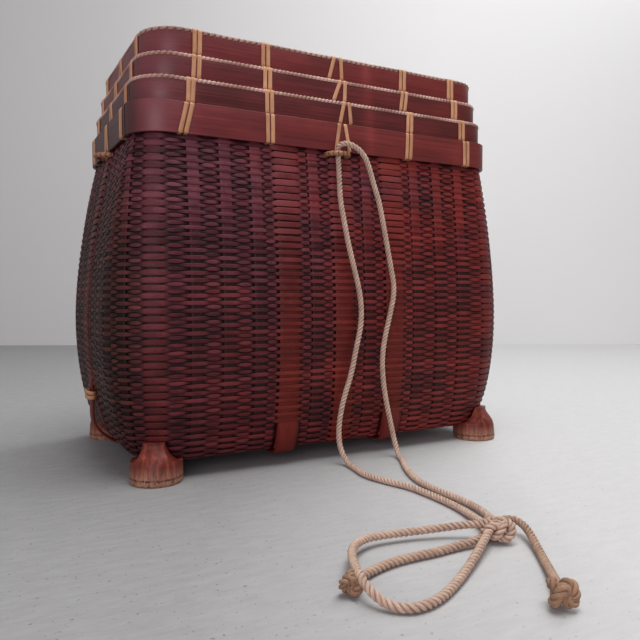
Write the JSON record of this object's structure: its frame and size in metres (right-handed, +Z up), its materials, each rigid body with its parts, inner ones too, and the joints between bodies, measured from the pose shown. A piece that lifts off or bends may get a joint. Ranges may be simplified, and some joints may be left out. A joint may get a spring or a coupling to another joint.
{
  "type": "basket",
  "caption": "Wicker creel on short culm feet: bulging woven basket, stacked lift-out trays and lid with lashed bamboo bands, and a knotted cord on the front bar.",
  "frame": {"origin": "on the floor, under the middle of the basket's plan", "axes": "+X to the basket's right seen from the front, -Y out of the front face that carries the cord, +Z up"},
  "size_m": [0.343, 0.4326, 0.3],
  "materials": {
    "bamboo_weave": "dark red lacquer over fine split bamboo weave",
    "bamboo_band": "satin dark red lacquer, fine lengthwise grain",
    "bamboo_rib": "satin red-brown lacquer, lengthwise grain",
    "culm_foot": "worn red-brown lacquer on a bamboo node",
    "rattan": "aged tan rattan strip",
    "rattan_edge": "pale pinkish wrapped rattan edge",
    "cord": "laid three-strand cotton or hemp cord, beige pink"
  },
  "bodies": {
    "tray_lower": {"tray_lower_edge": "rattan_edge", "tray_lower_hoop": "bamboo_band", "tray_lower_inner_hoop": "bamboo_band", "tray_lower_lashings": "rattan", "tray_lower_weave": "bamboo_weave"},
    "tray_upper": {"tray_upper_edge": "rattan_edge", "tray_upper_hoop": "bamboo_band", "tray_upper_inner_hoop": "bamboo_band", "tray_upper_lashings": "rattan", "tray_upper_weave": "bamboo_weave"},
    "lid": {"lid_edge": "rattan_edge", "lid_hoop": "bamboo_band", "lid_inner_hoop": "bamboo_band", "lid_lashings": "rattan", "lid_weave": "bamboo_weave"},
    "basket": {"base_weave": "bamboo_weave", "body_weave": "bamboo_weave", "bow_knot": "cord", "centre_rib_back": "bamboo_rib", "centre_rib_front": "bamboo_rib", "cord_bar_back": "rattan", "cord_bar_front": "rattan", "cord_left_strand": "cord", "cord_left_tail": "cord", "cord_loop": "cord", "cord_right_strand": "cord", "cord_right_tail": "cord", "cross_rib_left": "bamboo_rib", "cross_rib_right": "bamboo_rib", "end_knot_left": "cord", "end_knot_right": "cord", "foot_back_left": "culm_foot", "foot_back_right": "culm_foot", "foot_front_left": "culm_foot", "foot_front_right": "culm_foot", "long_rib": "bamboo_rib", "rim_inner_hoop": "bamboo_band", "rim_lashings": "rattan", "rim_outer_hoop": "bamboo_band", "side_knot_left": "rattan", "side_knot_right": "rattan", "strap_bar_left": "rattan", "strap_bar_right": "rattan"}
  },
  "joints": [
    {"name": "tray_lower_lift", "type": "slide", "parent": "basket", "child": "tray_lower", "axis": [0, 0, 1], "range_m": [0, 0.08]},
    {"name": "tray_upper_lift", "type": "slide", "parent": "tray_lower", "child": "tray_upper", "axis": [0, 0, 1], "range_m": [0, 0.06]},
    {"name": "lid_lift", "type": "slide", "parent": "tray_upper", "child": "lid", "axis": [0, 0, 1], "range_m": [0, 0.06]}
  ]
}
